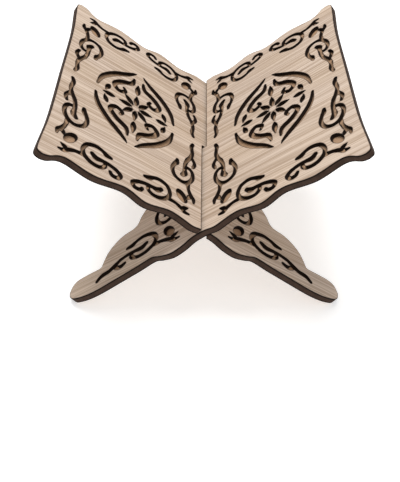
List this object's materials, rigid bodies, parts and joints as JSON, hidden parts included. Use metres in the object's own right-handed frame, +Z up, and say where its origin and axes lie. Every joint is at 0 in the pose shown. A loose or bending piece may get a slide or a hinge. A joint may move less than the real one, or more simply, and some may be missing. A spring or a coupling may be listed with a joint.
{
  "type": "folding book stand",
  "caption": "Folding reading stand of pierced wooden plates that slot through each other into an X, holding an open book in the V above its wavy-edged legs.",
  "frame": {"origin": "on the table, under the middle of the crossing line", "axes": "+Z up; X across the stand, from the left reading panel to the right one; Y along the crossing line, with the reader's side at -Y"},
  "size_m": [0.226, 0.2032, 0.1627],
  "materials": {
    "face_wood": "sanded pale veneer, matt",
    "backing_wood": "sanded board, matt"
  },
  "bodies": {
    "left_plate": {"left_backing_board": "backing_wood", "left_fretwork_face": "face_wood"},
    "right_plate": {"right_backing_board": "backing_wood", "right_fretwork_face": "face_wood"}
  },
  "joints": [
    {"name": "fold", "type": "hinge", "parent": "left_plate", "child": "right_plate", "pos_m": [0, 0, 0.07943], "axis": [0, -1, 0], "range_deg": [0, 36]}
  ]
}
